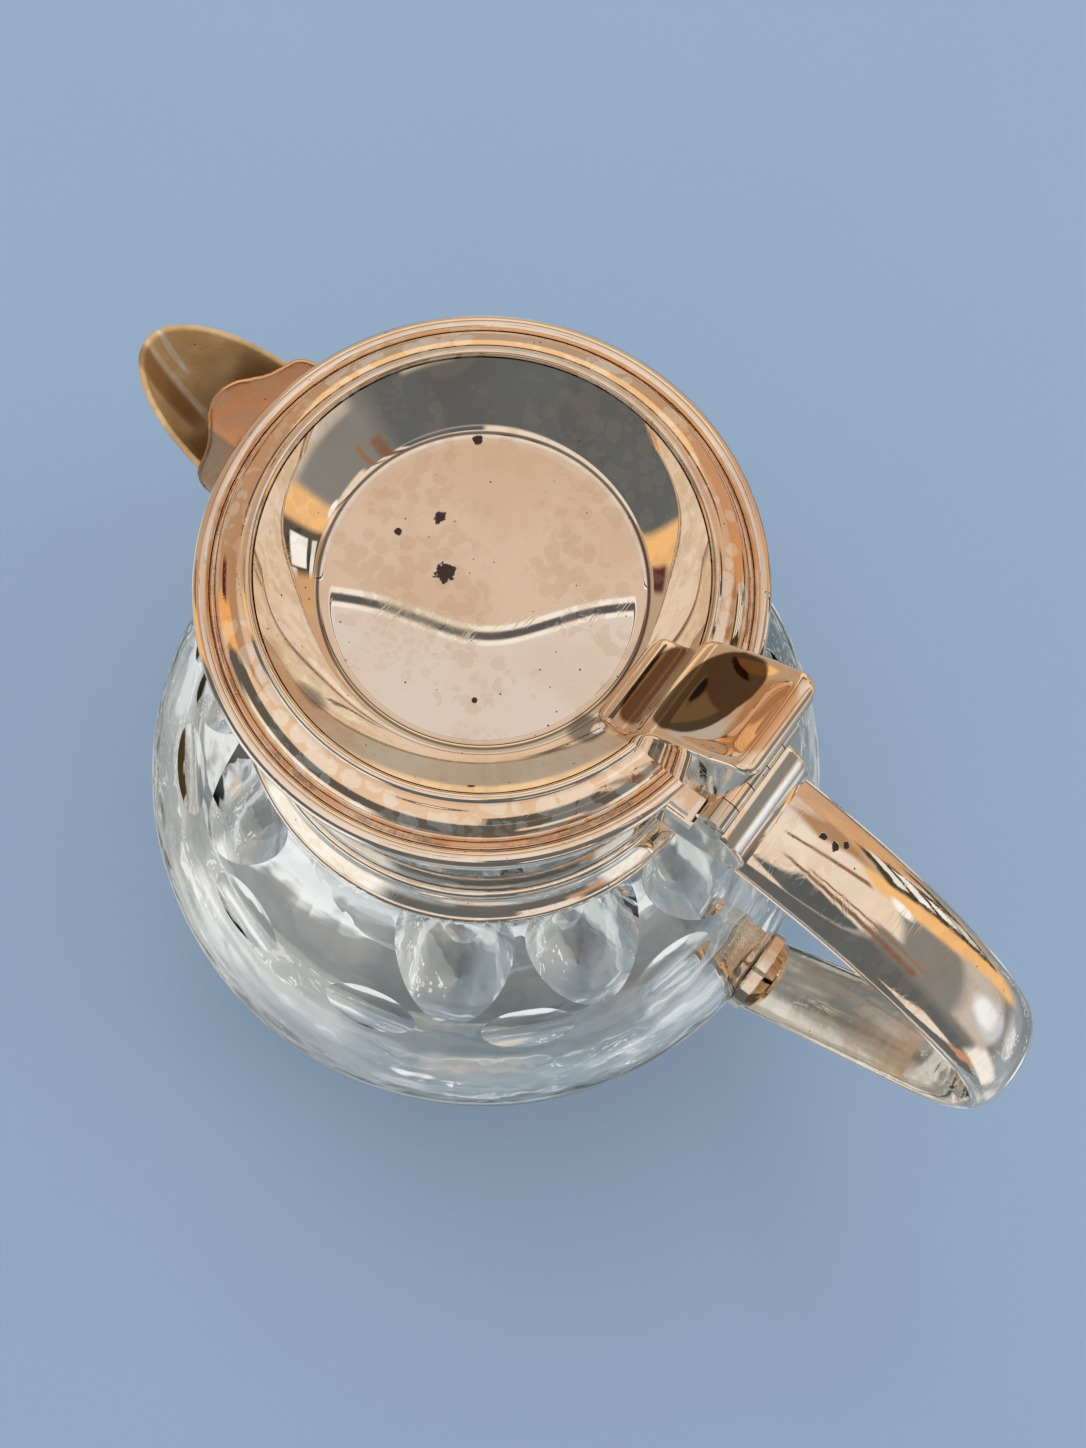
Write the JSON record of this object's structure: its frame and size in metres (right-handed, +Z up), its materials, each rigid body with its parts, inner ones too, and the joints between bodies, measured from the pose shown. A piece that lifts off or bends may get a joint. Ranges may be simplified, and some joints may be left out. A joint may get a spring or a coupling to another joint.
{
  "type": "claret jug",
  "caption": "Cut-glass claret jug with a globe body, tall silver collar, open pouring lip, loop handle and a hinged dished lid with a stepped thumbpiece.",
  "frame": {"origin": "centre of the flat base that the jug stands on", "axes": "+Z up along the globe's axis, +X towards the handle, -X towards the spout, Y across the jug along the hinge pin"},
  "size_m": [0.1873, 0.1488, 0.222],
  "materials": {
    "glass": "clear polished lead glass with cut petals and thumbprints",
    "silver": "polished silver plate, light scratches",
    "worn_silver": "polished silver plate with a warm rose tarnish in round blotches",
    "gilt_silver": "worn gilding inside, polished silver edge",
    "plaster": "matt off-white plaster",
    "hinge_steel": "drawn wire"
  },
  "bodies": {
    "jug": {"glass_body": "glass", "neck_cement": "plaster", "collar_wall": "silver", "collar_foot": "worn_silver", "collar_wire": "silver", "collar_rim": "silver", "spout": "gilt_silver", "spout_guard": "worn_silver", "upper_socket": "silver", "handle_shell": "worn_silver", "handle_inner_strip": "silver", "lower_ferrule": "silver", "hinge_bracket": "silver", "hinge_pin": "hinge_steel"},
    "lid": {"lid_bead": "silver", "lid_skirt": "silver", "lid_border": "worn_silver", "lid_dish": "worn_silver", "lid_tab": "worn_silver", "thumbpiece": "worn_silver", "thumb_saddle": "silver"}
  },
  "joints": [
    {"name": "lid_hinge", "type": "hinge", "parent": "jug", "child": "lid", "pos_m": [0.0448, 0, 0.19597], "axis": [0, 1, 0], "range_deg": [0, 100]}
  ]
}
